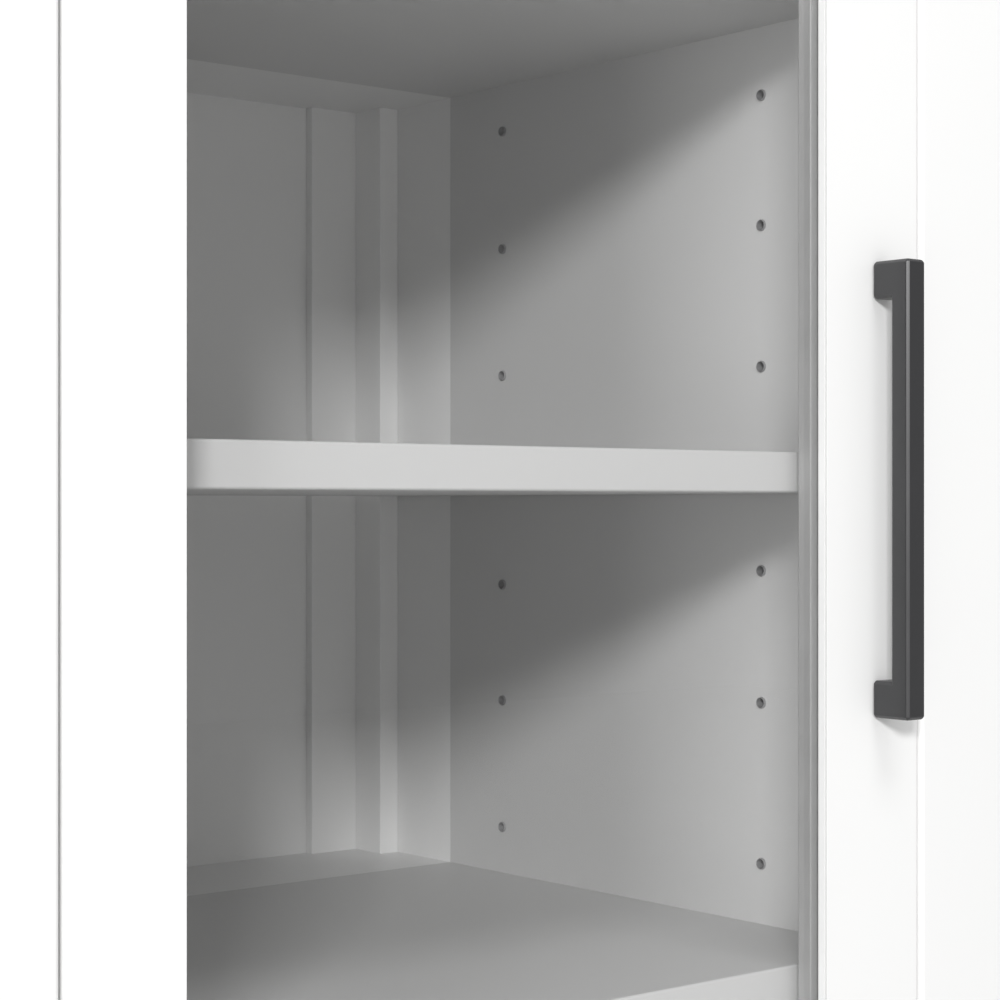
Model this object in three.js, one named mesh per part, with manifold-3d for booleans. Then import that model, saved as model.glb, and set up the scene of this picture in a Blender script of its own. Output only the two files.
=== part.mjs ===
// Glazed bookcase with one hinged glass door, in millimetres: +X right, +Y back, +Z up.
// The origin is on the floor, in the middle of the box that holds the whole object.
// Inside the cabinet group, y is the depth behind the front plane that the door and frame share.
import * as THREE from 'three';
import { mergeVertices } from 'three/addons/utils/BufferGeometryUtils.js';
import Module from 'manifold-3d';

const wasm = await Module();
wasm.setup();

// ---- Driving dimensions ----

// Case
const bayWidth = 432; // clear width between the inner sides
const carcassDepth = 430; // front plane to the rear edge of the outer sides
const tierHeight = 208.5; // clear height of one tier
const bayCount = 3; // bays between fixed boards, each with one adjustable shelf
const board = 18; // sides, fixed boards, shelves, top and bottom
const sideCavity = 24; // space between the two skins of a side
const kickHeight = 62; // floor to the underside of the bottom board
const headRail = 42; // height of the rail above the door
const frameThickness = 20; // face frame and door
const boardClearance = 2.6; // back of the door to the front edge of boards and shelves
const softEdge = 2.5; // radius on the arrises of frame, door and top
const shelfEdge = 1.2; // radius on the front arrises of boards and shelves
const glueLine = 0.1; // gap left at a fixed joint
const arcSteps = 5; // facets of a rounded arris
const bevelSteps = 3; // facets of an extrusion's bevel
const roundSides = 16; // facets of a turned or drilled round
const overshoot = 1; // how far a cutter or a joined piece runs past the face it meets
const weldDistance = 1e-4; // corners nearer than this are one corner

// Rear frame, from the back panel forwards
const panelInset = 2; // rear edge of the sides to the back panel
const panelThickness = 5;
const backFrameThickness = 6;
const backStileReveal = 31.3; // width of a back stile that shows beside its batten
const battenWidth = 13;
const battenDepth = 24.5;
const rearStripDepth = 49.5; // rear strip in front of the batten

// Shelf supports
const pinRadius = 2.45;
const pinHoleClearance = 0.15;
const pinHoleDepth = 10;
const pinEndGap = 1; // end of a pin to the bottom of its hole
const pinReach = 8; // how far a pin stands out of the side
const pinBevel = 0.5;
const holeSides = 12; // facets of a shelf hole
const pinSink = 0.5; // pin's lowest line above the shelf's underside
const notchClearance = 0.4;
const shelfSideGap = 1;
const shelfBackGap = 1.5;
const frontColumn = 99; // front plane to the front row of holes
const rearColumnInset = 47; // rear edge of an inner side to the rear row
// Holes from the middle of their tier, in each row's lower and upper tier of a bay
const frontHoles = { lower: [-75, 3, 67], upper: [-60.5, 8, 71] };
const rearHoles = { lower: [-79, -9, 55], upper: [-56, 14, 79] };

// Door
const doorGap = 1.5; // all round the door
const hingeStileWidth = 46.2;
const handleStileWidth = 61.3;
const doorRailWidth = 61.3;
const glassSetback = 5; // front plane to the glass
const glassThickness = 4;
const glassLap = 8; // glass behind the frame's front lip
const glassPlay = 1; // each edge of the glass to its rebate
const seatGap = 0.2; // glass to lip, bead to glass
const quirkDepth = 1.3; // shadow groove just behind the front arris of the opening
const quirkFront = 0.35;
const quirkWidth = 1.2;
const beadSetback = 0.5; // back of the bead in front of the door's rear face
const beadBevel = 3;

// Handle
const handleLength = 201;
const handleWidth = 12;
const handleProjection = 20.8;
const gripThickness = 10.3;
const legHeight = 16.5;
const handleEdge = 1.2;
const handleCorner = 1.6;
const handleFromEdge = 26.3; // door's free edge to the middle of the handle
const handleDrop = 7.7; // middle of the door to the middle of the handle
const screwRadius = 1.9;
const screwClearance = 0.4;
const screwGrip = 9; // thread inside the handle's leg
const screwHeadRadius = 4.2;
const screwHeadHeight = 1.8;

// Hinges
const hingeHeight = 64;
const hingeEndDistance = 110; // end of the door to the middle of the outer hinges
const extraHingeRise = 230; // third hinge above the middle of the door
const knuckleRadius = 3.5;
const knuckleClearance = 0.4; // knuckles in front of the front plane
const leafThickness = 1.6;
const leafMargin = 3; // back of a leaf to the back of the frame
const leafGap = 0.3; // between the two closed leaves, and between knuckles
const mortiseClearance = 0.3;
const hingePinRadius = 1.65;
const hingePinClearance = 0.12;
const hingeCapHeight = 1.6;
const hingeCapRadius = 3.2;

// Catch
const catchSize = { width: 15, depth: 28, height: 40 };
const catchGap = 0.3;
const strikeThickness = 1.2;
const strikeSize = { width: 14, height: 34 };
const catchFromHead = 46; // underside of the head rail to the middle of the catch

// ---- Worked out from them ----

const bayHeight = 2 * tierHeight + board;
const boardSetback = frameThickness + boardClearance;
const wallX = bayWidth / 2;
const skinX = wallX + board + sideCavity; // inner face of the outer sides
const outerX = skinX + board;
const floorTop = kickHeight + board;
const openingTop = floorTop + bayCount * bayHeight + (bayCount - 1) * board;
const topUnderside = openingTop + headRail;

const panelBack = carcassDepth - panelInset;
const panelFront = panelBack - panelThickness;
const backFrameFront = panelFront - backFrameThickness;
const battenFront = backFrameFront - battenDepth;
const rearFrameFront = battenFront - rearStripDepth;
const backStileX = wallX - battenWidth - backStileReveal;

const bayMiddle = (bay) => floorTop + bay * (bayHeight + board) + bayHeight / 2;
const pinRise = -board / 2 + pinSink + pinRadius; // pin's axis from the middle of its shelf
const rearColumn = rearFrameFront - rearColumnInset;
const tierRise = (tierHeight + board) / 2; // middle of a bay to the middle of either tier

const doorLeft = -wallX + doorGap;
const doorRight = wallX - doorGap;
const doorBottom = floorTop + doorGap;
const doorTop = openingTop - doorGap;
const doorMiddle = (doorBottom + doorTop) / 2;
const glassLeft = doorLeft + hingeStileWidth;
const glassRight = doorRight - handleStileWidth;
const glassBottom = doorBottom + doorRailWidth;
const glassTop = doorTop - doorRailWidth;

const handleX = doorRight - handleFromEdge;
const handleZ = doorMiddle - handleDrop;
const screwOffset = (handleLength - legHeight) / 2;

const axisX = -wallX + doorGap / 2;
const knuckleProud = knuckleRadius + knuckleClearance; // hinge axis in front of the front plane
const knuckleHeight = (hingeHeight - 2 * leafGap) / 3;
const leafDepth = frameThickness - leafMargin;
const hingeMiddles = [
  doorBottom + hingeEndDistance,
  doorMiddle + extraHingeRise,
  doorTop - hingeEndDistance,
];

// ---- Materials ----

const paint = (color, roughness, metalness = 0) =>
  new THREE.MeshStandardMaterial({ color, roughness, metalness });
const lacquer = paint(0xf4f4f3, 0.45);
const rearLacquer = paint(0xfafafa, 0.5);
const blackMetal = paint(0x33343a, 0.35, 0.6);
const whiteMetal = paint(0xe9e9ea, 0.35, 0.3);
const steel = paint(0xb9bcc0, 0.3, 1);
const clearGlass = new THREE.MeshStandardMaterial({
  color: 0xeaf2f0,
  roughness: 0.05,
  transparent: true,
  opacity: 0.2,
});

// ---- Shape helpers ----

// A closed geometry as a solid for cutting and joining.
function solidOf(geometry) {
  const bare = geometry.clone();
  bare.deleteAttribute('normal');
  bare.deleteAttribute('uv');
  const merged = mergeVertices(bare, weldDistance);
  const vertProperties = merged.attributes.position.array;
  const triVerts = new Uint32Array(merged.index.array);
  return new wasm.Manifold(new wasm.Mesh({ numProp: 3, vertProperties, triVerts }));
}

function geometryOf(solid) {
  const { numProp, vertProperties, triVerts } = solid.getMesh();
  const geometry = new THREE.BufferGeometry();
  const points = new Float32Array((vertProperties.length / numProp) * 3);
  for (let i = 0; i < points.length / 3; i++) {
    for (let k = 0; k < 3; k++) points[3 * i + k] = vertProperties[numProp * i + k];
  }
  geometry.setAttribute('position', new THREE.BufferAttribute(points, 3));
  geometry.setIndex(new THREE.BufferAttribute(new Uint32Array(triVerts), 1));
  geometry.computeVertexNormals();
  return geometry;
}

// The geometry less every cutter, all in the same frame.
function cut(geometry, cutters) {
  const tools = wasm.Manifold.union(cutters.map(solidOf));
  return geometryOf(solidOf(geometry).subtract(tools));
}

function join(geometries) {
  return geometryOf(wasm.Manifold.union(geometries.map(solidOf)));
}

// A box given by its lowest and highest x, y and z.
function block([x0, x1], [y0, y1], [z0, z1]) {
  const geometry = new THREE.BoxGeometry(x1 - x0, y1 - y0, z1 - z0);
  return geometry.translate((x0 + x1) / 2, (y0 + y1) / 2, (z0 + z1) / 2);
}

const shapeOf = (points) => new THREE.Shape(points.map(([x, y]) => new THREE.Vector2(x, y)));

// Points of a quarter turn about a centre, anticlockwise; quarter 0 starts along x.
const quarterTurn = (x, y, radius, quarter) => Array.from({ length: arcSteps + 1 }, (_, step) => {
  const angle = (quarter + step / arcSteps) * Math.PI / 2;
  return [x + radius * Math.cos(angle), y + radius * Math.sin(angle)];
});

// A rectangle whose corners have their own radii, from the lowest corner anticlockwise.
function plate([x0, x1], [y0, y1], [r00, r10, r11, r01]) {
  const corners = [
    [x0 + r00, y0 + r00, r00],
    [x1 - r10, y0 + r10, r10],
    [x1 - r11, y1 - r11, r11],
    [x0 + r01, y1 - r01, r01],
  ];
  return shapeOf(corners.flatMap(([x, y, radius], corner) =>
    (radius ? quarterTurn(x, y, radius, corner + 2) : [[x, y]])));
}

const extrusion = (shape, depth) => new THREE.ExtrudeGeometry(shape, { depth, bevelEnabled: false });

// A plan shape in x and y, standing from z0 to z1.
const upright = (shape, [z0, z1]) => extrusion(shape, z1 - z0).translate(0, 0, z0);

// Turns a shape drawn in depth and height, so that its extrusion runs along x.
const alongX = new THREE.Matrix4().makeBasis(
  new THREE.Vector3(0, 1, 0),
  new THREE.Vector3(0, 0, 1),
  new THREE.Vector3(1, 0, 0),
);

// A shape in depth and height, running from x0 to x1.
const crossways = (shape, [x0, x1]) =>
  extrusion(shape, x1 - x0).applyMatrix4(alongX).translate(x0, 0, 0);

// A round bar along an axis, from one end to the other.
function rod(radius, axis, from, to, at, sides = roundSides) {
  const geometry = new THREE.CylinderGeometry(radius, radius, to - from, sides);
  if (axis === 'x') geometry.rotateZ(Math.PI / 2);
  if (axis === 'z') geometry.rotateX(Math.PI / 2);
  const middle = (from + to) / 2;
  const place = { x: [middle, ...at], y: [at[0], middle, at[1]], z: [...at, middle] }[axis];
  return geometry.translate(...place);
}

// A turned piece along x whose outline lists radius and distance.
function turned(outline, at) {
  const points = outline.map(([radius, along]) => new THREE.Vector2(radius, along));
  return new THREE.LatheGeometry(points, roundSides).rotateZ(-Math.PI / 2).translate(...at);
}

// The mesh's origin is moved to the middle of its geometry, so that its position says where it is.
// Geometry comes in cabinet coordinates, and the door's group stands on the hinge axis.
function addPiece(group, name, geometry, material) {
  const around = new THREE.Box3().setFromBufferAttribute(geometry.attributes.position);
  const centre = around.getCenter(new THREE.Vector3());
  geometry.translate(-centre.x, -centre.y, -centre.z);
  const mesh = new THREE.Mesh(geometry, material);
  mesh.name = name;
  mesh.position.copy(centre).sub(group.position);
  group.add(mesh);
}

const sides = [
  { name: 'left', sign: -1 },
  { name: 'right', sign: 1 },
];

// An interval beside the middle plane, given for the right side and mirrored for the left.
const mirrored = (sign, inner, outer) => (sign > 0 ? [inner, outer] : [-outer, -inner]);

// ---- Case ----

const cabinet = new THREE.Group();

const innerWidth = [-wallX + glueLine, wallX - glueLine];
const skinWidth = [-skinX + glueLine, skinX - glueLine];
const behindFrame = frameThickness + glueLine;

// Heights of one row's holes from the middle of a bay, its shelf's own hole included.
const risesOf = ({ lower, upper }) => [
  ...lower.map((rise) => rise - tierRise),
  ...upper.map((rise) => rise + tierRise),
  pinRise,
];

function pinHoles(sign) {
  const holes = [];
  const span = mirrored(sign, wallX - overshoot, wallX + pinHoleDepth);
  for (let bay = 0; bay < bayCount; bay++) {
    for (const [depth, row] of [[frontColumn, frontHoles], [rearColumn, rearHoles]]) {
      for (const rise of risesOf(row)) {
        const at = [depth, bayMiddle(bay) + rise];
        holes.push(rod(pinRadius + pinHoleClearance, 'x', ...span, at, holeSides));
      }
    }
  }
  return holes;
}

function addSide({ name, sign }) {
  const skin = mirrored(sign, wallX, wallX + board);
  const height = [floorTop + glueLine, topUnderside - glueLine];
  const inner = block(skin, [behindFrame, rearFrameFront - glueLine], height);
  addPiece(cabinet, `inner_side_${name}`, cut(inner, pinHoles(sign)), lacquer);
  const strip = block(skin, [rearFrameFront, panelFront - glueLine], height);
  addPiece(cabinet, `rear_strip_${name}`, strip, rearLacquer);
  const outerSkin = mirrored(sign, skinX, outerX);
  const outer = block(outerSkin, [behindFrame, carcassDepth], [0, topUnderside - glueLine]);
  addPiece(cabinet, `outer_side_${name}`, outer, lacquer);
}

function addBackFrame({ name, sign }) {
  const height = [floorTop + glueLine, topUnderside - glueLine];
  const stile = block(
    mirrored(sign, backStileX, wallX - glueLine),
    [backFrameFront, panelFront - glueLine],
    height,
  );
  addPiece(cabinet, `back_stile_${name}`, stile, rearLacquer);
  const batten = block(
    mirrored(sign, wallX - battenWidth, wallX - glueLine),
    [battenFront, backFrameFront - glueLine],
    height,
  );
  addPiece(cabinet, `corner_batten_${name}`, batten, rearLacquer);
}

function addFaceFrame() {
  for (const { name, sign } of sides) {
    const section = plate(mirrored(sign, wallX, outerX), [0, frameThickness], [softEdge, softEdge, 0, 0]);
    const mortises = sign < 0 ? hingeMiddles.map((z) => leafMortise(-wallX, -1, z)) : [];
    const stile = upright(section, [0, topUnderside - glueLine]);
    addPiece(cabinet, `frame_stile_${name}`, mortises.length ? cut(stile, mortises) : stile, lacquer);
  }
  const top = plate([0, frameThickness], [openingTop, topUnderside - glueLine], [softEdge, 0, 0, 0]);
  addPiece(cabinet, 'frame_top_rail', crossways(top, innerWidth), lacquer);
  const bottom = plate([0, frameThickness], [0, floorTop], [0, 0, 0, softEdge]);
  addPiece(cabinet, 'frame_bottom_rail', crossways(bottom, innerWidth), lacquer);
}

function addTopAndBottom() {
  const slab = new THREE.ExtrudeGeometry(plate([-outerX, outerX], [0, carcassDepth], [0, 0, 0, 0]), {
    depth: board - 2 * softEdge,
    bevelThickness: softEdge,
    bevelSize: softEdge,
    bevelOffset: -softEdge,
    bevelSegments: bevelSteps,
  });
  addPiece(cabinet, 'top_panel', slab.translate(0, 0, topUnderside + softEdge), lacquer);
  const bottom = block(skinWidth, [behindFrame, panelFront - glueLine], [kickHeight, floorTop]);
  addPiece(cabinet, 'bottom_board', bottom, lacquer);
  const plinthFront = panelFront - glueLine - board;
  const plinth = block(skinWidth, [plinthFront, plinthFront + board], [0, kickHeight - glueLine]);
  addPiece(cabinet, 'rear_plinth', plinth, lacquer);
  const panel = block(skinWidth, [panelFront, panelBack], [kickHeight, topUnderside - glueLine]);
  addPiece(cabinet, 'back_panel', panel, rearLacquer);
}

// The rail behind a fixed board steps in round the battens and the back stiles.
function rearRailPlan() {
  const steps = [
    [wallX - glueLine, rearFrameFront + glueLine],
    [wallX - glueLine, battenFront - glueLine],
    [wallX - battenWidth - glueLine, battenFront - glueLine],
    [wallX - battenWidth - glueLine, backFrameFront - glueLine],
    [backStileX - glueLine, backFrameFront - glueLine],
    [backStileX - glueLine, panelFront - glueLine],
  ];
  return shapeOf([...steps, ...steps.toReversed().map(([x, y]) => [-x, y])]);
}

const nosedSection = (back, bottom) =>
  plate([boardSetback, back], [bottom, bottom + board], [shelfEdge, 0, 0, shelfEdge]);

function addFixedBoard(name, bay) {
  const bottom = bayMiddle(bay) + bayHeight / 2;
  const nosed = crossways(nosedSection(rearFrameFront, bottom), innerWidth);
  addPiece(cabinet, `fixed_board_${name}`, nosed, lacquer);
  const rail = upright(rearRailPlan(), [bottom, bottom + board]);
  addPiece(cabinet, `rear_rail_${name}`, rail, rearLacquer);
}

function shelfPin(sign, depth, z) {
  const length = pinHoleDepth - pinEndGap + pinReach;
  const outline = [
    [0, 0],
    [pinRadius - pinBevel, 0],
    [pinRadius, pinBevel],
    [pinRadius, length - pinBevel],
    [pinRadius - pinBevel, length],
    [0, length],
  ];
  const start = sign > 0 ? wallX - pinReach : -wallX + pinReach - length;
  return turned(outline, [start, depth, z]);
}

// A shelf lies on four pins, which notches in its underside hide.
function addShelf(name, bay) {
  const bottom = bayMiddle(bay) - board / 2;
  const end = wallX - shelfSideGap;
  const pinZ = bayMiddle(bay) + pinRise;
  const half = pinRadius + notchClearance;
  const notches = [];
  for (const { name: side, sign } of sides) {
    const span = mirrored(sign, wallX - pinReach - notchClearance, wallX);
    for (const [row, depth] of [['front', frontColumn], ['rear', rearColumn]]) {
      notches.push(block(span, [depth - half, depth + half], [bottom - overshoot, pinZ + half]));
      addPiece(cabinet, `shelf_pin_${name}_${row}_${side}`, shelfPin(sign, depth, pinZ), steel);
    }
  }
  const section = nosedSection(battenFront - shelfBackGap, bottom);
  addPiece(cabinet, `shelf_${name}`, cut(crossways(section, [-end, end]), notches), lacquer);
}

// ---- Door ----

const door = new THREE.Group();
door.position.set(axisX, -knuckleProud, 0);

const doorThickness = [0, frameThickness];
const rebate = block(
  [glassLeft - glassLap, glassRight + glassLap],
  [glassSetback, frameThickness + overshoot],
  [glassBottom - glassLap, glassTop + glassLap],
);
const quirk = block(
  [glassLeft - quirkDepth, glassRight + quirkDepth],
  [quirkFront, quirkFront + quirkWidth],
  [glassBottom - quirkDepth, glassTop + quirkDepth],
);

function addDoorFrame() {
  const through = [-overshoot, frameThickness + overshoot];
  const screwHoles = [-1, 1].map((end) =>
    rod(screwRadius + screwClearance, 'y', ...through, [handleX, handleZ + end * screwOffset]));
  const hingeMortises = hingeMiddles.map((z) => leafMortise(doorLeft, 1, z));
  const height = [doorBottom, doorTop];
  const left = plate([doorLeft, glassLeft], doorThickness, [softEdge, 0, 0, shelfEdge]);
  const right = plate([glassRight, doorRight], doorThickness, [0, softEdge, shelfEdge, 0]);
  addPiece(door, 'door_hinge_stile', cut(upright(left, height), [rebate, quirk, ...hingeMortises]), lacquer);
  addPiece(door, 'door_handle_stile', cut(upright(right, height), [rebate, quirk, ...screwHoles]), lacquer);
  const between = [glassLeft + glueLine, glassRight - glueLine];
  const top = plate(doorThickness, [glassTop, doorTop], [0, 0, shelfEdge, softEdge]);
  const bottom = plate(doorThickness, [doorBottom, glassBottom], [softEdge, shelfEdge, 0, 0]);
  addPiece(door, 'door_top_rail', cut(crossways(top, between), [rebate, quirk]), lacquer);
  addPiece(door, 'door_bottom_rail', cut(crossways(bottom, between), [rebate, quirk]), lacquer);
}

function addGlazing() {
  const inset = glassLap - glassPlay;
  const front = glassSetback + seatGap;
  const pane = block(
    [glassLeft - inset, glassRight + inset],
    [front, front + glassThickness],
    [glassBottom - inset, glassTop + inset],
  );
  addPiece(door, 'glass_pane', pane, clearGlass);
  const beadFront = front + glassThickness + seatGap;
  const beadBack = frameThickness - beadSetback;
  // Section of a bead: across the rebate, then depth, with the inner rear arris cut off.
  const section = (outer, inner) => {
    const away = Math.sign(inner - outer);
    return [[outer, beadFront], [inner, beadFront], [inner, beadBack - beadBevel],
      [inner - away * beadBevel, beadBack], [outer, beadBack]];
  };
  const hold = glassLap - seatGap;
  const tall = [glassBottom - hold, glassTop + hold];
  const left = shapeOf(section(glassLeft - hold, glassLeft));
  const right = shapeOf(section(glassRight + hold, glassRight));
  addPiece(door, 'glazing_bead_left', upright(left, tall), lacquer);
  addPiece(door, 'glazing_bead_right', upright(right, tall), lacquer);
  const wide = [glassLeft + seatGap, glassRight - seatGap];
  const flip = (points) => points.map(([z, y]) => [y, z]);
  const low = shapeOf(flip(section(glassBottom - hold, glassBottom)));
  const high = shapeOf(flip(section(glassTop + hold, glassTop)));
  addPiece(door, 'glazing_bead_bottom', crossways(low, wide), lacquer);
  addPiece(door, 'glazing_bead_top', crossways(high, wide), lacquer);
}

// Bow handle: a grip on two legs, all one square-section bar with soft edges.
function addHandle() {
  const half = handleLength / 2;
  const foot = half - legHeight;
  const back = -glueLine;
  const front = -handleProjection;
  const gap = front + gripThickness;
  const bow = shapeOf([
    [back, -half], [back, -foot], [gap, -foot], [gap, foot], [back, foot], [back, half],
    ...quarterTurn(front + handleCorner, half - handleCorner, handleCorner, 1),
    ...quarterTurn(front + handleCorner, handleCorner - half, handleCorner, 2),
  ]);
  const bar = new THREE.ExtrudeGeometry(bow, {
    depth: handleWidth - 2 * handleEdge,
    bevelThickness: handleEdge,
    bevelSize: handleEdge,
    bevelOffset: -handleEdge,
    bevelSegments: bevelSteps,
  });
  bar.applyMatrix4(alongX).translate(handleX - handleWidth / 2 + handleEdge, 0, handleZ);
  const ends = [-1, 1].map((end) => handleZ + end * screwOffset);
  const tap = [-screwGrip - overshoot, overshoot];
  const taps = ends.map((z) => rod(screwRadius + screwClearance, 'y', ...tap, [handleX, z]));
  addPiece(door, 'handle', cut(bar, taps), blackMetal);
  ends.forEach((z, i) => {
    const at = [handleX, z];
    const shank = rod(screwRadius, 'y', -screwGrip, frameThickness + glueLine + overshoot, at);
    const head = rod(screwHeadRadius, 'y', frameThickness + glueLine, frameThickness + screwHeadHeight, at);
    addPiece(door, `handle_screw_${i ? 'upper' : 'lower'}`, join([shank, head]), steel);
  });
}

// ---- Hinges ----

// Pocket for a hinge leaf in the edge at x, cut towards the given side.
function leafMortise(x, side, z) {
  const depth = leafThickness + leafGap / 2 - doorGap / 2 + mortiseClearance;
  const half = hingeHeight / 2 + mortiseClearance;
  const span = side > 0 ? [x - overshoot, x + depth] : [x - depth, x + overshoot];
  return block(span, [-overshoot, leafDepth + mortiseClearance], [z - half, z + half]);
}

// One leaf with its knuckles, given as middle heights. The side is -1 for the case and 1 for the door.
function hingeLeaf(side, z, knuckles) {
  const near = axisX + side * leafGap / 2;
  const far = near + side * leafThickness;
  const span = side > 0 ? [near, far] : [far, near];
  const pieces = [block(span, [0, leafDepth], [z - hingeHeight / 2, z + hingeHeight / 2])];
  for (const middle of knuckles) {
    const ends = [middle - knuckleHeight / 2, middle + knuckleHeight / 2];
    pieces.push(rod(knuckleRadius, 'z', ...ends, [axisX, -knuckleProud]));
    pieces.push(block(span, [-knuckleProud, overshoot], ends));
  }
  const boreRadius = hingePinRadius + hingePinClearance;
  const bore = rod(boreRadius, 'z', z - hingeHeight, z + hingeHeight, [axisX, -knuckleProud]);
  return cut(join(pieces), [bore]);
}

function addHinge(name, z) {
  const pitch = knuckleHeight + leafGap;
  addPiece(cabinet, `hinge_${name}_case_leaf`, hingeLeaf(-1, z, [z - pitch, z + pitch]), whiteMetal);
  addPiece(door, `hinge_${name}_door_leaf`, hingeLeaf(1, z, [z]), whiteMetal);
  const end = hingeHeight / 2 + leafGap;
  const tip = end + hingeCapHeight;
  const axis = [axisX, -knuckleProud];
  const shaft = rod(hingePinRadius, 'z', z - end - overshoot, z + end + overshoot, axis);
  const spans = [[z - tip, z - end], [z + end, z + tip]];
  const caps = spans.map((span) => rod(hingeCapRadius, 'z', ...span, axis));
  addPiece(cabinet, `hinge_${name}_pin`, join([shaft, ...caps]), whiteMetal);
}

// ---- Catch ----

function addCatch() {
  const z = openingTop - catchFromHead;
  const strikeFront = frameThickness + glueLine;
  const strikeBack = strikeFront + strikeThickness;
  const right = doorRight - shelfEdge;
  const strike = block(
    [right - strikeSize.width, right],
    [strikeFront, strikeBack],
    [z - strikeSize.height / 2, z + strikeSize.height / 2],
  );
  addPiece(door, 'catch_strike', strike, steel);
  const front = strikeBack + catchGap;
  const plan = plate(
    [wallX - glueLine - catchSize.width, wallX - glueLine],
    [front, front + catchSize.depth],
    [softEdge, 0, 0, softEdge],
  );
  const height = [z - catchSize.height / 2, z + catchSize.height / 2];
  addPiece(cabinet, 'magnetic_catch', upright(plan, height), whiteMetal);
}

// ---- Assembly ----

sides.forEach(addSide);
sides.forEach(addBackFrame);
addFaceFrame();
addTopAndBottom();
['lower', 'upper'].forEach(addFixedBoard);
['lower', 'middle', 'upper'].forEach(addShelf);
addDoorFrame();
addGlazing();
addHandle();
['lower', 'middle', 'upper'].forEach((name, i) => addHinge(name, hingeMiddles[i]));
addCatch();
cabinet.add(door);

// The handle stands furthest forward, so the front plane lies that much behind the box's front.
cabinet.position.y = (handleProjection - carcassDepth) / 2;

const bookcase = new THREE.Group();
bookcase.add(cabinet);
export default bookcase;
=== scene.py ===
"""Looks of the glazed bookcase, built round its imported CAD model. Metres, +X right, +Y back, +Z up."""
import math

import bmesh
import bpy
from mathutils import Matrix, Vector


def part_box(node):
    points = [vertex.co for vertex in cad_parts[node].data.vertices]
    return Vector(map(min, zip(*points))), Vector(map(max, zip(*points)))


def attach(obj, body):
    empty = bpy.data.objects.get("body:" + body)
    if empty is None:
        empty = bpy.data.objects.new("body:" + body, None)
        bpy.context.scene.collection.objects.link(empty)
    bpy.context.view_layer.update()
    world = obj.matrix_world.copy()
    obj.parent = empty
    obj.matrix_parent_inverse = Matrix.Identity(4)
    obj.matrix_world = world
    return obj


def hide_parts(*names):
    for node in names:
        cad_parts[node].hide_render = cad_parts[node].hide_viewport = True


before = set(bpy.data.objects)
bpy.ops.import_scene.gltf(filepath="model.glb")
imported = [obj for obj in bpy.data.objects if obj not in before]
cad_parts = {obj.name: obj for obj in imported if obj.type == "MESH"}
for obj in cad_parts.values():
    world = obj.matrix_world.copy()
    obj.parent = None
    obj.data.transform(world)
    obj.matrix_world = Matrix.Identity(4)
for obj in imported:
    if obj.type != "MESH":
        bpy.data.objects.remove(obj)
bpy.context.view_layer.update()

MM = 0.001

# ---- Places that the frame gives ----

DOOR_LOW, DOOR_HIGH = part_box("door_hinge_stile")
FRONT = DOOR_LOW.y  # plane of the door's and the frame's front
MIDDLE_BAY = (DOOR_LOW.z + DOOR_HIGH.z) / 2  # height of the middle bay's middle

# ---- Studio ----

# The camera stands left of the case and close to it, level, looking at the door's glass.
CAMERA = Vector((-0.568, FRONT - 0.6526, MIDDLE_BAY - 0.0151))
CAMERA_TURN = math.radians(39.5)  # from +Y towards +X
CAMERA_LENS = 80.1
CAMERA_SHIFT = 0.0065

# Three soft lights face one point of the case's front: the key light hangs upper left in front of it, a low
# window stands at its far left, and the top light hangs above and in front. Powers are in watts.
AIM = Vector((0, FRONT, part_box("fixed_board_upper")[0].z))
KEY_OFFSET = Vector((-3.8, -4.1, 1.66))
KEY_SIZE = (1.3, 0.8)
KEY_POWER = 238.0
WINDOW_OFFSET = Vector((-2.9, -0.85, 0.1))
WINDOW_SIZE = (1.1, 2.0)
WINDOW_POWER = 75.0
TOP_OFFSET = Vector((-0.3, -1.9, 3.0))
TOP_SIZE = (1.6, 1.0)
TOP_POWER = 36.0
SURROUND = 0.42  # strength of the even white world

# ---- Finishes, as linear colours ----

LACQUER = (0.90, 0.90, 0.896)
# White lacquer darkened as painted shade of the case's interior: its inner sides, fixed boards and shelves.
INNER_LACQUER_PAINTED_SHADE = (0.61, 0.61, 0.607)
STRIP_LACQUER = (0.84, 0.84, 0.836)
REAR_LACQUER = (0.93, 0.93, 0.925)
# Grey on the glazing beads: painted shade of the door's inner reveal, which the lamps leave dark.
BEAD_PAINTED_SHADE = (0.46, 0.46, 0.458)
POWDER_COAT = (0.019, 0.019, 0.021)
WHITE_METAL = (0.78, 0.78, 0.785)
STEEL = (0.58, 0.58, 0.6)
SLEEVE = (0.30, 0.30, 0.305)
GLASS_TINT = (0.985, 0.985, 0.985)
GLASS_INDEX = 1.5
FLOOR_DARK = (0.74, 0.74, 0.735)
FLOOR_LIGHT = (0.78, 0.78, 0.775)


# ---- Node helpers ----


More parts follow.
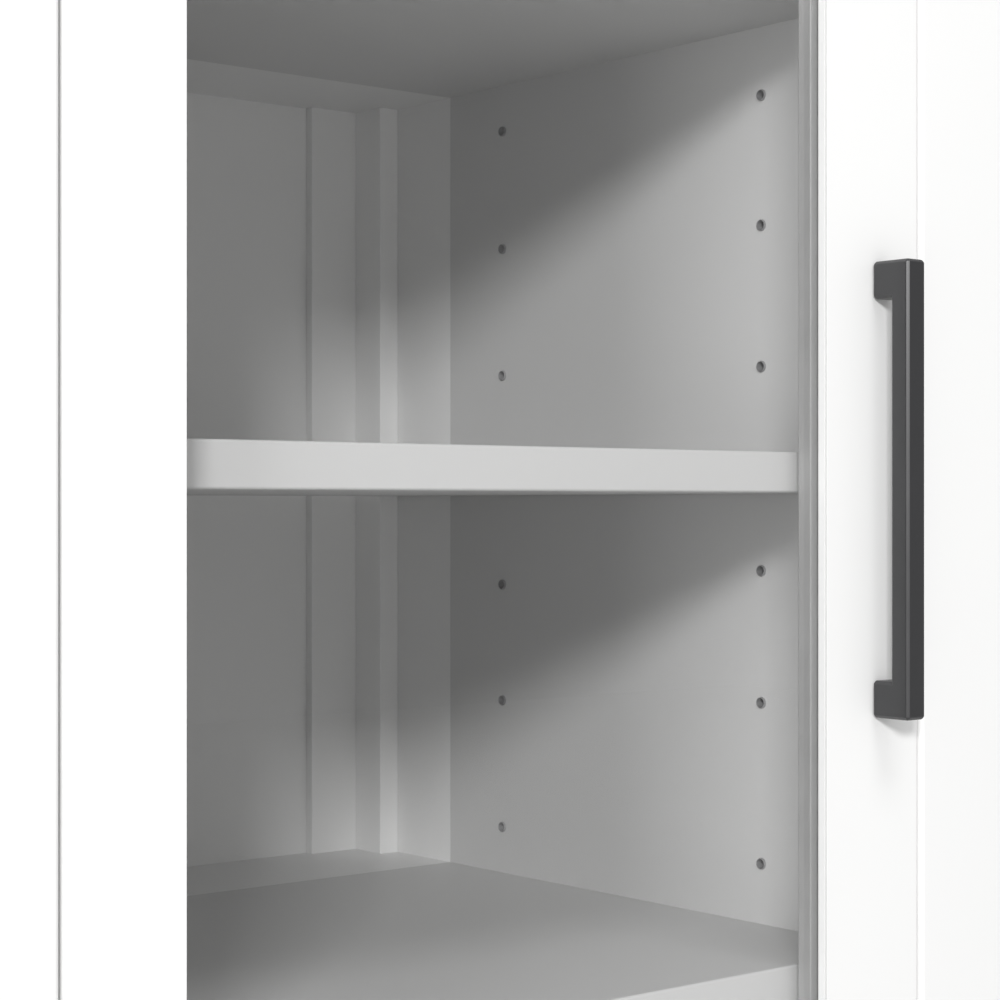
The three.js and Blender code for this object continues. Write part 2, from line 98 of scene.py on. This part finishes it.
class Nodes:
    """A new material's node tree with short calls for its nodes and links."""

    def __init__(self, name):
        self.material = bpy.data.materials.new(name)
        self.material.use_nodes = True
        self.tree = self.material.node_tree
        self.tree.nodes.clear()
        self.output = self.add("ShaderNodeOutputMaterial")

    def add(self, kind, settings=(), **inputs):
        node = self.tree.nodes.new(kind)
        for key, value in dict(settings).items():
            setattr(node, key, value)
        for key, value in inputs.items():
            socket = node.inputs[key.replace("_", " ")]
            if isinstance(value, bpy.types.NodeSocket):
                self.tree.links.new(value, socket)
            else:
                socket.default_value = value
        return node

    def link(self, source, target):
        self.tree.links.new(source, target)

    def noise(self, scale, detail, roughness=0.5, stretch=(1, 1, 1)):
        """A noise in the piece's own coordinates, in metres."""
        coordinates = self.add("ShaderNodeTexCoord").outputs["Object"]
        mapping = self.add("ShaderNodeMapping", Vector=coordinates, Scale=stretch)
        node = self.add("ShaderNodeTexNoise", Vector=mapping.outputs["Vector"])
        node.inputs["Scale"].default_value = scale
        node.inputs["Detail"].default_value = detail
        node.inputs["Roughness"].default_value = roughness
        return node.outputs["Fac"]

    def span(self, value, low, high):
        """A 0 to 1 value spread from low to high."""
        node = self.add("ShaderNodeMapRange", Value=value)
        node.inputs["To Min"].default_value = low
        node.inputs["To Max"].default_value = high
        return node.outputs["Result"]

    def bump(self, height, distance, strength):
        node = self.add("ShaderNodeBump", Height=height, Distance=distance, Strength=strength)
        return node.outputs["Normal"]

    def tones(self, value, low, high):
        """A colour between low and high by a 0 to 1 value."""
        node = self.add("ShaderNodeMix", {"data_type": "RGBA"})
        self.link(value, node.inputs[0])
        node.inputs[6].default_value = (*low, 1)
        node.inputs[7].default_value = (*high, 1)
        return node.outputs[2]

    def surface(self, shader):
        self.link(shader.outputs[0], self.output.inputs["Surface"])
        return self.material


def shade(color, share):
    """A colour made darker or lighter by a share."""
    return tuple(c * share for c in color)


def lacquer(name, color):
    """Sprayed satin lacquer: a faint orange peel, tone and gloss that drift a little."""
    n = Nodes(name)
    drift = n.noise(scale=3.1, detail=3)
    peel = n.noise(scale=520, detail=2, roughness=0.4)
    base = n.tones(drift, low=shade(color, 0.985), high=color)
    gloss = n.span(n.noise(scale=22, detail=4), low=0.36, high=0.44)
    normal = n.bump(peel, distance=0.02 * MM, strength=0.35)
    bsdf = n.add("ShaderNodeBsdfPrincipled", Base_Color=base, Roughness=gloss, Normal=normal)
    return n.surface(bsdf)


def powder_coat(name, color, gleam=0.5):
    """Fine-grained powder coating on metal, or moulded plastic; gleam is its specular level."""
    n = Nodes(name)
    grain = n.noise(scale=2600, detail=3, roughness=0.6)
    cloud = n.noise(scale=60, detail=3)
    base = n.tones(cloud, low=shade(color, 0.9), high=shade(color, 1.1))
    gloss = n.span(n.noise(scale=90, detail=4), low=0.30, high=0.38)
    normal = n.bump(grain, distance=0.03 * MM, strength=0.25)
    bsdf = n.add("ShaderNodeBsdfPrincipled", Base_Color=base, Roughness=gloss, Normal=normal)
    bsdf.inputs["Specular IOR Level"].default_value = gleam
    return n.surface(bsdf)


def brushed_metal(name, color):
    """Metal with fine lines drawn along Z."""
    n = Nodes(name)
    lines = n.noise(scale=1500, detail=4, roughness=0.6, stretch=(1, 1, 0.06))
    base = n.tones(lines, low=shade(color, 0.88), high=color)
    gloss = n.span(lines, low=0.24, high=0.42)
    normal = n.bump(lines, distance=0.01 * MM, strength=0.4)
    bsdf = n.add("ShaderNodeBsdfPrincipled", Base_Color=base, Roughness=gloss, Normal=normal)
    bsdf.inputs["Metallic"].default_value = 1.0
    return n.surface(bsdf)


def clear_glass(name):
    """Float glass that lets lamps through: clear, with a mirror's share by Fresnel.

    The index is turned over on faces seen from within the pane.
    """
    n = Nodes(name)
    from_within = n.add("ShaderNodeNewGeometry").outputs["Backfacing"]
    index = n.span(from_within, low=GLASS_INDEX, high=1 / GLASS_INDEX)
    fresnel = n.add("ShaderNodeFresnel", IOR=index).outputs[0]
    ripple = n.bump(n.noise(scale=4.0, detail=1), distance=0.02 * MM, strength=0.05)
    mirror = n.add("ShaderNodeBsdfGlossy", Roughness=0.0, Normal=ripple)
    clear = n.add("ShaderNodeBsdfTransparent", Color=(*GLASS_TINT, 1))
    mix = n.add("ShaderNodeMixShader")
    n.link(fresnel, mix.inputs[0])
    n.link(clear.outputs[0], mix.inputs[1])
    n.link(mirror.outputs[0], mix.inputs[2])
    return n.surface(mix)


def studio_floor(name):
    """A plain matt floor with faint clouds."""
    n = Nodes(name)
    base = n.tones(n.noise(scale=5, detail=4), low=FLOOR_DARK, high=FLOOR_LIGHT)
    bsdf = n.add("ShaderNodeBsdfPrincipled", Base_Color=base)
    bsdf.inputs["Roughness"].default_value = 0.7
    return n.surface(bsdf)


FINISH = {
    "white_lacquer": lacquer("white_lacquer_finish", LACQUER),
    "rear_lacquer": lacquer("rear_lacquer_finish", REAR_LACQUER),
    # The interior's lacquer, darkened as painted shade.
    "inner_painted_shade": lacquer("inner_painted_shade_finish", INNER_LACQUER_PAINTED_SHADE),
    "strip_lacquer": lacquer("strip_lacquer_finish", STRIP_LACQUER),
    # The glazing beads' grey is painted shade.
    "bead": powder_coat("bead_painted_shade_finish", BEAD_PAINTED_SHADE),
    "black_metal": powder_coat("black_metal_finish", POWDER_COAT, gleam=0.75),
    "white_metal": powder_coat("white_metal_finish", WHITE_METAL),
    "steel": brushed_metal("steel_finish", STEEL),
    "clear_glass": clear_glass("clear_glass_finish"),
    "sleeve": powder_coat("sleeve_finish", SLEEVE),
}


# ---- CAD nodes that stay ----

WELD_DISTANCE = 0.002 * MM
NODE_SHARP = math.radians(40)  # edges that turn by more stay sharp
ARRIS_WIDTH = 0.35 * MM
ARRIS_TURN = math.radians(50)  # edges that turn by more are softened
# Finishes of the nodes whose names start so. The others have the finish of their own slot. The inner sides,
# fixed boards and shelves get white lacquer darkened as painted shade of the case's interior.
INNER_FINISH = {
    "inner_side": "inner_painted_shade",
    "fixed_board": "inner_painted_shade",
    "shelf_lower": "inner_painted_shade",
    "shelf_middle": "inner_painted_shade",
    "shelf_upper": "inner_painted_shade",
    "rear_strip": "strip_lacquer",
    "rear_rail": "strip_lacquer",
    # The glazing beads take a grey that is painted shade.
    "glazing_bead": "bead",
}
# Nodes that lie flush with a neighbour, where a softened arris would open a groove.
FLUSH = ("inner_side", "rear_strip", "rear_rail", "fixed_board", "glass_pane", "back_panel")


def softening():
    """A node group that merges a node's split corners and smooths its shading across shallow edges."""
    tree = bpy.data.node_groups.new("smooth_shading", "GeometryNodeTree")
    tree.interface.new_socket("Geometry", in_out="INPUT", socket_type="NodeSocketGeometry")
    tree.interface.new_socket("Geometry", in_out="OUTPUT", socket_type="NodeSocketGeometry")
    start, end = tree.nodes.new("NodeGroupInput"), tree.nodes.new("NodeGroupOutput")
    merge = tree.nodes.new("GeometryNodeMergeByDistance")
    merge.inputs["Distance"].default_value = WELD_DISTANCE
    drop = tree.nodes.new("GeometryNodeRemoveAttribute")
    drop.inputs["Name"].default_value = "custom_normal"
    smooth = tree.nodes.new("GeometryNodeSetShadeSmooth")
    sharp = tree.nodes.new("GeometryNodeSetShadeSmooth")
    sharp.domain = "EDGE"
    sharp.inputs["Shade Smooth"].default_value = False
    angle = tree.nodes.new("GeometryNodeInputMeshEdgeAngle")
    steep = tree.nodes.new("FunctionNodeCompare")
    steep.operation = "GREATER_THAN"
    steep.inputs["B"].default_value = NODE_SHARP
    tree.links.new(angle.outputs["Unsigned Angle"], steep.inputs["A"])
    tree.links.new(steep.outputs["Result"], sharp.inputs["Selection"])
    chain = [start, drop, merge, smooth, sharp, end]
    for a, b in zip(chain, chain[1:]):
        tree.links.new(a.outputs["Geometry"], b.inputs["Geometry"])
    return tree


SMOOTH = softening()


def dress_node(name, node):
    """Gives a CAD node its finish, smooth shading and, where it isn't flush, softened arrises."""
    own = node.data.materials[0].name
    finish = next((inner for start, inner in INNER_FINISH.items() if name.startswith(start)), own)
    node.data.materials[0] = FINISH[finish]
    node.modifiers.new("smooth_shading", "NODES").node_group = SMOOTH
    if not name.startswith(FLUSH):
        bevel = node.modifiers.new("soft_arris", "BEVEL")
        bevel.width = ARRIS_WIDTH
        bevel.segments = 2
        bevel.limit_method = "ANGLE"
        bevel.angle_limit = ARRIS_TURN
    node.modifiers.new("even_shading", "WEIGHTED_NORMAL").keep_sharp = True


for cad_name, cad_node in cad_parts.items():
    dress_node(cad_name, cad_node)


# ---- Mesh helpers ----

PIECE_SHARP = math.radians(38)  # edges of fine pieces that turn by more stay sharp


def lathe(profile, segments=32):
    """A solid turned about Z from (radius, height) points that start and end on the axis."""
    bm = bmesh.new()
    turns = [2 * math.pi * i / segments for i in range(segments)]
    rings = []
    for radius, height in profile:
        around = turns if radius > 0 else [0]
        rings.append([bm.verts.new((radius * math.cos(a), radius * math.sin(a), height)) for a in around])
    for low, high in zip(rings, rings[1:]):
        for i in range(segments):
            k = (i + 1) % segments
            corners = (low[i % len(low)], low[k % len(low)], high[k % len(high)], high[i % len(high)])
            corners = list(dict.fromkeys(corners))
            if len(corners) > 2:
                bm.faces.new(corners)
    bmesh.ops.recalc_face_normals(bm, faces=bm.faces)
    return bm


def rod(radius, low, high):
    """A cylinder about Z between two heights."""
    return lathe([(0, low), (radius, low), (radius, high), (0, high)])


def mirrored(half):
    """A turned profile of the points in half, which lie at height 0 or above, and their mirror below."""
    below = [(radius, -height) for radius, height in reversed(half)]
    return below + [point for point in half if point[1] > 0]


def quarter(steps):
    """Evenly spaced angles from 0 up to, but without, a quarter turn."""
    return [math.pi / 2 * i / steps for i in range(steps)]


def between(first, last):
    """A solid between two outlines with the same number of points."""
    bm = bmesh.new()
    ends = [[bm.verts.new(point) for point in outline] for outline in (first, last)]
    for end in ends:
        bm.faces.new(end)
    for i in range(len(first)):
        k = (i + 1) % len(first)
        bm.faces.new((ends[0][i], ends[0][k], ends[1][k], ends[1][i]))
    bmesh.ops.recalc_face_normals(bm, faces=bm.faces)
    return bm


def cuboid(low, high, radius=0.0, segments=3):
    """A box between two corners with rounded edges."""
    bm = bmesh.new()
    bmesh.ops.create_cube(bm, size=1)
    low, high = Vector(low), Vector(high)
    for v in bm.verts:
        v.co = (low + high) / 2 + Vector(a * b for a, b in zip(v.co, high - low))
    if radius:
        round_edges(bm, radius, segments)
    return bm


def round_edges(bm, radius, segments, convex_only=False, turn=50):
    """Rounds every edge that turns by more than the given degrees; one segment makes a chamfer."""
    steep = math.radians(turn)
    edges = [e for e in bm.edges if e.calc_face_angle(0) > steep and (e.is_convex or not convex_only)]
    bmesh.ops.bevel(bm, geom=edges, offset=radius, segments=segments, affect="EDGES", profile=0.5)


def temporary(bm):
    """A short-lived object that holds bm's mesh."""
    mesh = bpy.data.meshes.new("temporary")
    bm.to_mesh(mesh)
    bm.free()
    holder = bpy.data.objects.new("temporary", mesh)
    bpy.context.scene.collection.objects.link(holder)
    return holder


def combined(bm, tool, operation):
    """The solid in bm joined with, or cut by, the tool."""
    target, cutter = temporary(bm), temporary(tool)
    modifier = target.modifiers.new("combine", "BOOLEAN")
    modifier.operation, modifier.object, modifier.solver = operation, cutter, "EXACT"
    graph = bpy.context.evaluated_depsgraph_get()
    result = bmesh.new()
    result.from_mesh(target.evaluated_get(graph).to_mesh())
    for holder in (target, cutter):
        mesh = holder.data
        bpy.data.objects.remove(holder)
        bpy.data.meshes.remove(mesh)
    return result


def gathered(parts):
    """Separate solids together in one mesh, each given as (bmesh, matrix)."""
    result = bmesh.new()
    mesh = bpy.data.meshes.new("temporary")
    for bm, matrix in parts:
        bm.to_mesh(mesh)
        mesh.transform(matrix)
        result.from_mesh(mesh)
    bpy.data.meshes.remove(mesh)
    return result


def piece(name, bm, slot, body, *stands_for):
    """Turns bm into a finished piece that rides on a body and stands for the named CAD nodes."""
    for face in bm.faces:
        face.smooth = True
    for edge in bm.edges:
        edge.smooth = edge.calc_face_angle(0) < PIECE_SHARP
    mesh = bpy.data.meshes.new(name)
    bm.to_mesh(mesh)
    bm.free()
    mesh.materials.append(FINISH[slot])
    made = bpy.data.objects.new(name, mesh)
    bpy.context.scene.collection.objects.link(made)
    made.modifiers.new("even_shading", "WEIGHTED_NORMAL").keep_sharp = True
    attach(made, body)
    if stands_for:
        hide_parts(*stands_for)


def facing(direction, at):
    """A matrix that turns +Z to a direction and moves the origin to a point."""
    turn = Vector(direction).to_track_quat("Z", "Y").to_matrix().to_4x4()
    return Matrix.Translation(at) @ turn


# ---- Screws ----

RECESS_DEPTH = 1.1 * MM
SQUARE = ((-1, -1), (1, -1), (1, 1), (-1, 1))


def cross_recess(top, size):
    """Cutter for a cross recess: two tapered bars that cross on the axis."""
    width, taper = size * 0.24, 0.45
    clear = 0.2 * MM
    bars = bmesh.new()
    for along, across in ((size, width), (width, size)):
        mouth = [(x * along, y * across, top + clear) for x, y in SQUARE]
        foot = [(x * along * taper, y * across * taper, top - RECESS_DEPTH) for x, y in SQUARE]
        bar = between(mouth, foot)
        bars = combined(bars, bar, "UNION") if bars.faces else bar
    return bars


def flat_screw(radius, shank):
    """Countersunk screw with its head's top at height 0."""
    shaft, rim = 1.4 * MM, 0.25 * MM
    cone = radius - shaft
    profile = [
        (0, -shank), (0.5 * MM, -shank + 1 * MM), (shaft, -shank + 3 * MM), (shaft, -rim - cone),
        (radius, -rim), (radius, -0.06 * MM), (radius - 0.1 * MM, 0), (0, 0),
    ]
    return combined(lathe(profile), cross_recess(0, radius * 0.55), "DIFFERENCE")


def countersink(bore, neck, mouth):
    """Cutter for a flat screw: a bore, a cone from the depth of its neck to the face, and a clear mouth."""
    under, over = 3 * MM, 1 * MM
    return lathe([(0, -under), (bore, -under), (bore, -neck), (mouth, 0), (mouth, over), (0, over)])


def pan_screw(radius, height, shank_radius, shank):
    """Pan-head screw that stands height above 0, with its shank below."""
    brim = 0.3  # share of the head's height below its dome
    fullness = 0.55  # a power below 1 makes the dome flatter on top
    dome = [
        (radius * math.cos(a) ** fullness, height * (brim + (1 - brim) * math.sin(a))) for a in quarter(8)
    ]
    profile = [
        (0, -shank), (shank_radius * 0.7, -shank), (shank_radius, -shank + 0.6 * MM),
        (shank_radius, 0), (radius, 0), *dome, (0, height),
    ]
    return combined(lathe(profile), cross_recess(height, radius * 0.5), "DIFFERENCE")


# ---- Handle ----


def add_handle():
    """Bow handle: one bar bent twice, with soft chamfers and its feet flat on the door."""
    low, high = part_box("handle")
    grip, leg = 10.3 * MM, 16.5 * MM
    chamfer, softening_radius = 1.35 * MM, 0.3 * MM
    back, front = high.y, low.y
    outline = [
        (back, low.z), (back, low.z + leg), (front + grip, low.z + leg),
        (front + grip, high.z - leg), (back, high.z - leg), (back, high.z),
        (front, high.z), (front, low.z),
    ]
    bm = between(*([(x, y, z) for y, z in outline] for x in (low.x, high.x)))
    round_edges(bm, chamfer, 1, convex_only=True)
    round_edges(bm, softening_radius, 2, convex_only=True, turn=30)
    piece("handle_bow", bm, "black_metal", "door", "handle")


def add_handle_screws():
    """Two screws that hold the handle from behind the stile."""
    for name in ("handle_screw_lower", "handle_screw_upper"):
        low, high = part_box(name)
        head = 1.7 * MM
        shank = high.y - low.y - 1.8 * MM  # ends 0.1 mm short of the CAD node
        radius = (high.x - low.x) / 2
        at = Vector(((low.x + high.x) / 2, high.y - head, (low.z + high.z) / 2))
        screw = pan_screw(radius, head, shank_radius=1.9 * MM, shank=shank)
        piece(name + "_pan_head", gathered([(screw, facing((0, 1, 0), at))]), "steel", "door", name)


# ---- Hinges ----

LEAF = 1.6 * MM  # thickness
LEAF_ARRIS = 0.25 * MM
LEAF_GAP = 0.3 * MM  # between the closed leaves, and between knuckles
KNUCKLE = 3.5 * MM  # radius
KNUCKLE_CHAMFER = 0.3 * MM
WEB_OVERLAP = 1 * MM  # of a knuckle's web with its leaf
HINGE_PIN = 1.65 * MM  # radius
PIN_PLAY = 0.1 * MM
SCREW_HEAD = 3.1 * MM  # radius
SCREW_PLAY = 0.15 * MM
SCREW_SPREAD = 0.34  # share of a leaf's height from its middle screw to an end screw
END_SCREW_INSET = 11.5 * MM
MIDDLE_SCREW_INSET = 7.5 * MM


def add_hinge_leaf(node, body, side, knuckle_shifts):
    """One leaf: a plate let into the wood, its knuckles, and three countersunk screws."""
    low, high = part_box(node)
    pin_low, pin_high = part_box(node.rsplit("_", 2)[0] + "_pin")
    axis = (pin_low + pin_high) / 2
    near = axis.x + side * LEAF_GAP / 2
    far = near + side * LEAF
    left, right = min(near, far), max(near, far)
    height = high.z - low.z
    knuckle = (height - 2 * LEAF_GAP) / 3
    half = knuckle / 2
    bm = cuboid((left, FRONT, low.z), (right, high.y, high.z), LEAF_ARRIS, 2)
    for shift in knuckle_shifts:
        z = axis.z + shift * (knuckle + LEAF_GAP)
        web = cuboid((left, axis.y, z - half), (right, FRONT + WEB_OVERLAP, z + half))
        end = [(KNUCKLE, half - KNUCKLE_CHAMFER), (KNUCKLE - KNUCKLE_CHAMFER, half), (0, half)]
        barrel = lathe(mirrored(end), 48)
        barrel.transform(Matrix.Translation((axis.x, axis.y, z)))
        bm = combined(combined(bm, web, "UNION"), barrel, "UNION")
    bore = rod(HINGE_PIN + PIN_PLAY, -height, height)
    bore.transform(Matrix.Translation(axis))
    bm = combined(bm, bore, "DIFFERENCE")
    screws = []
    for step in (-1, 0, 1):
        inset = END_SCREW_INSET if step else MIDDLE_SCREW_INSET
        at = Vector((near, FRONT + inset, axis.z + step * height * SCREW_SPREAD))
        matrix = facing((-side, 0, 0), at)
        sink = countersink(bore=1.6 * MM, neck=1.7 * MM, mouth=SCREW_HEAD + SCREW_PLAY)
        sink.transform(matrix)
        bm = combined(bm, sink, "DIFFERENCE")
        screws.append((flat_screw(SCREW_HEAD, shank=12 * MM), matrix))
    piece(node + "_pressed", bm, "white_metal", body, node)
    piece(node + "_screws", gathered(screws), "steel", body)


def add_hinge_pin(node):
    """Pin with a turned button at each end."""
    low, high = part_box(node)
    cap, top = (high.x - low.x) / 2, (high.z - low.z) / 2
    rise = 1.6 * MM  # height of a button
    dome = rise * 0.7
    button = [(cap * math.cos(a), top - dome + dome * math.sin(a)) for a in quarter(6)]
    half = [(HINGE_PIN, 0), (HINGE_PIN, top - rise), (cap - 0.2 * MM, top - rise), *button, (0, top)]
    bm = lathe(mirrored(half), 40)
    bm.transform(Matrix.Translation((low + high) / 2))
    piece(node + "_turned", bm, "white_metal", "carcass", node)


def add_hinges():
    """Three butt hinges: two knuckles on the case's leaf and one on the door's."""
    for height in ("lower", "middle", "upper"):
        add_hinge_leaf(f"hinge_{height}_case_leaf", "carcass", -1, (-1, 1))
        add_hinge_leaf(f"hinge_{height}_door_leaf", "door", 1, (0,))
        add_hinge_pin(f"hinge_{height}_pin")


# ---- Shelf supports ----


def add_shelf_pins():
    """Turned steel pins with a groove round the middle and soft noses."""
    nose, softening_depth = 0.5 * MM, 0.15 * MM
    groove, foot, lip = 0.25 * MM, 0.4 * MM, 0.6 * MM  # depth, and half widths at its foot and lip
    for node in [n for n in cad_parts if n.startswith("shelf_pin_")]:
        low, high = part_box(node)
        radius, half = (high.z - low.z) / 2, (high.x - low.x) / 2
        end = [
            (radius - groove, foot), (radius, lip), (radius, half - nose),
            (radius - softening_depth, half - softening_depth), (radius - nose, half), (0, half),
        ]
        bm = lathe(mirrored(end))
        bm.transform(facing((1, 0, 0), (low + high) / 2))
        piece(node + "_turned", bm, "steel", "carcass", node)


def hole_middles(node, wall_x):
    """Middles of a side's shelf holes: its wall has mesh points away from the outline only at their rims."""
    low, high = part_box(node)
    margin, tolerance, reach = MM, 0.01 * MM, 8 * MM
    rims = {}
    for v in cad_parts[node].data.vertices:
        inside = low.z + margin < v.co.z < high.z - margin and low.y + margin < v.co.y < high.y - margin
        if abs(v.co.x - wall_x) < tolerance and inside:
            first = next((c for c in rims if (c - v.co).length < reach), None)
            rims.setdefault(v.co.copy().freeze() if first is None else first, set()).add(tuple(v.co))
    return [sum((Vector(p) for p in points), Vector()) / len(points) for points in rims.values()]


def add_sleeves():
    """Grey sleeves pressed into the free shelf holes, each a cup with a thin rolled collar."""
    collar, proud, bore, outer, depth = 2.8 * MM, 1.2 * MM, 2.2 * MM, 2.5 * MM, 9 * MM
    bottom, apart = 0.4 * MM, 4 * MM
    profile = [
        (0, -depth), (outer, -depth), (outer, 0), (collar, 0), (collar, proud * 0.5),
        (collar - 0.25 * MM, proud), (bore + 0.2 * MM, proud), (bore, proud * 0.6),
        (bore, -depth + bottom), (0, -depth + bottom),
    ]
    pins = [sum(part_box(n), Vector()) / 2 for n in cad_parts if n.startswith("shelf_pin_")]
    for name, sign in (("left", -1), ("right", 1)):
        node = "inner_side_" + name
        low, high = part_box(node)
        wall_x = high.x if sign < 0 else low.x
        parts = []
        for middle in hole_middles(node, wall_x):
            if all((middle - pin).yz.length > apart for pin in pins):
                at = Vector((wall_x, middle.y, middle.z))
                parts.append((lathe(profile, 28), facing((-sign, 0, 0), at)))
        piece("shelf_hole_sleeves_" + name, gathered(parts), "sleeve", "carcass")


# ---- Catch ----


def add_catch():
    """Magnetic catch: a moulded body whose slot holds a magnet between two steel poles."""
    low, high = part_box("magnetic_catch")
    middle = (low + high) / 2
    recess = 1.2 * MM  # of the body's face behind the poles' ends
    wall, slot_depth, slot_half = 3 * MM, 4 * MM, 13 * MM
    body = cuboid((low.x, low.y + recess, low.z), high, 1.2 * MM, 4)
    slot = cuboid(
        (low.x + wall, low.y, middle.z - slot_half),
        (high.x - wall, low.y + slot_depth, middle.z + slot_half),
    )
    body = combined(body, slot, "DIFFERENCE")

    seat_depth, screw_inset, screw_step = 1.2 * MM, 4 * MM, 14.5 * MM
    screws = []
    for end in (-1, 1):
        at = Vector((low.x, middle.y + screw_inset, middle.z + end * screw_step))
        seat = rod(3.4 * MM, -seat_depth, 2 * MM)
        seat.transform(facing((-1, 0, 0), at))
        body = combined(body, seat, "DIFFERENCE")
        screw = pan_screw(radius=2.9 * MM, height=1.1 * MM, shank_radius=1.4 * MM, shank=10 * MM)
        screws.append((screw, facing((-1, 0, 0), at + Vector((seat_depth, 0, 0)))))
    piece("magnetic_catch_body", body, "white_metal", "carcass", "magnetic_catch")
    piece("magnetic_catch_screws", gathered(screws), "steel", "carcass")

    thick, pole_depth, pole_half, softened = 1.2 * MM, 12 * MM, 12 * MM, 0.3 * MM
    poles = []
    for x in (low.x + 4.2 * MM, high.x - 5.4 * MM):
        start = (x, low.y, middle.z - pole_half)
        end = (x + thick, low.y + pole_depth, middle.z + pole_half)
        poles.append((cuboid(start, end, softened), Matrix()))
    piece("magnetic_catch_poles", gathered(poles), "steel", "carcass")

    side_inset, face_inset, magnet_half = 5.5 * MM, 0.4 * MM, 11 * MM
    magnet = cuboid(
        (low.x + side_inset, low.y + face_inset, middle.z - magnet_half),
        (high.x - side_inset, low.y + pole_depth, middle.z + magnet_half),
        softened,
    )
    piece("magnetic_catch_magnet", magnet, "black_metal", "carcass")


def add_strike():
    """The catch's strike plate on the door, held by two countersunk screws."""
    low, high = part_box("catch_strike")
    middle = (low + high) / 2
    screw_step = 11 * MM
    plate = cuboid(low, high, 0.35 * MM)
    screws = []
    for end in (-1, 1):
        matrix = facing((0, 1, 0), Vector((middle.x, high.y, middle.z + end * screw_step)))
        sink = countersink(bore=1.5 * MM, neck=1.3 * MM, mouth=2.8 * MM)
        sink.transform(matrix)
        plate = combined(plate, sink, "DIFFERENCE")
        screws.append((flat_screw(2.65 * MM, shank=9 * MM), matrix))
    piece("catch_strike_plate", plate, "steel", "door", "catch_strike")
    piece("catch_strike_screws", gathered(screws), "steel", "door")


# ---- Back ----


def add_panel_nails():
    """Small domed nails that hold the back panel, along its four edges and across the fixed boards."""
    low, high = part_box("back_panel")
    inset, pitch, apart = 9 * MM, 105 * MM, 15 * MM
    left, right = low.x + inset, high.x - inset
    rows = [low.z + inset, high.z - inset]
    rows += [sum(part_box(n), Vector()).z / 2 for n in ("fixed_board_lower", "fixed_board_upper")]
    places = []
    across = round((right - left) / pitch)
    for z in rows:
        places += [(left + (right - left) * i / across, z) for i in range(across + 1)]
    up = round((rows[1] - rows[0]) / pitch)
    for i in range(1, up):
        z = rows[0] + (rows[1] - rows[0]) * i / up
        if all(abs(z - row) > apart for row in rows):
            places += [(left, z), (right, z)]
    head, rise, shaft, length = 2.6 * MM, 0.7 * MM, 0.7 * MM, 3 * MM
    profile = [
        (0, -length), (shaft, -length), (shaft, 0), (head, 0), (head, 0.25 * MM),
        (head * 0.8, rise * 0.75), (head * 0.45, rise * 0.95), (0, rise),
    ]
    nails = [(lathe(profile, 16), facing((0, 1, 0), Vector((x, high.y, z)))) for x, z in places]
    piece("back_panel_nails", gathered(nails), "steel", "carcass")


add_handle()
add_handle_screws()
add_hinges()
add_shelf_pins()
add_sleeves()
add_catch()
add_strike()
add_panel_nails()


# ---- Studio objects ----


def add_camera():
    """The level camera, its horizon set by the lens's shift."""
    data = bpy.data.cameras.new("camera")
    data.lens = CAMERA_LENS
    data.shift_y = CAMERA_SHIFT
    camera = bpy.data.objects.new("camera", data)
    camera.location = CAMERA
    camera.rotation_euler = (math.pi / 2, 0, -CAMERA_TURN)
    bpy.context.scene.collection.objects.link(camera)
    bpy.context.scene.camera = camera


def add_area(name, offset, size, power):
    """A rectangular soft light that faces AIM."""
    data = bpy.data.lights.new(name, "AREA")
    data.shape = "RECTANGLE"
    data.size, data.size_y = size
    data.energy = power
    light = bpy.data.objects.new(name, data)
    light.location = AIM + offset
    light.rotation_euler = (-offset).to_track_quat("-Z", "Y").to_euler()
    bpy.context.scene.collection.objects.link(light)
    return light


def add_lights():
    """The three lights and the even surround; the window's light reaches only the inner CAD nodes."""
    add_area("key_light", KEY_OFFSET, KEY_SIZE, KEY_POWER)
    window = add_area("window_light", WINDOW_OFFSET, WINDOW_SIZE, WINDOW_POWER)
    add_area("top_light", TOP_OFFSET, TOP_SIZE, TOP_POWER)
    inside = bpy.data.collections.new("lit_by_window")
    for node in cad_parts:
        if node.startswith(tuple(INNER_FINISH)) and not node.startswith("glazing_bead"):
            inside.objects.link(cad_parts[node])
    window.light_linking.receiver_collection = inside
    world = bpy.data.worlds.new("studio")
    world.use_nodes = True
    background = world.node_tree.nodes["Background"]
    background.inputs["Color"].default_value = (1, 1, 1, 1)
    background.inputs["Strength"].default_value = SURROUND
    bpy.context.scene.world = world


def add_floor():
    """A square floor under the case."""
    half = 6.0
    mesh = bpy.data.meshes.new("studio_floor")
    corners = [(-half, -half, 0), (half, -half, 0), (half, half, 0), (-half, half, 0)]
    mesh.from_pydata(corners, [], [(0, 1, 2, 3)])
    floor = bpy.data.objects.new("studio_floor", mesh)
    mesh.materials.append(studio_floor("studio_floor_finish"))
    bpy.context.scene.collection.objects.link(floor)


add_camera()
add_lights()
add_floor()
bpy.context.scene.view_settings.view_transform = "Standard"
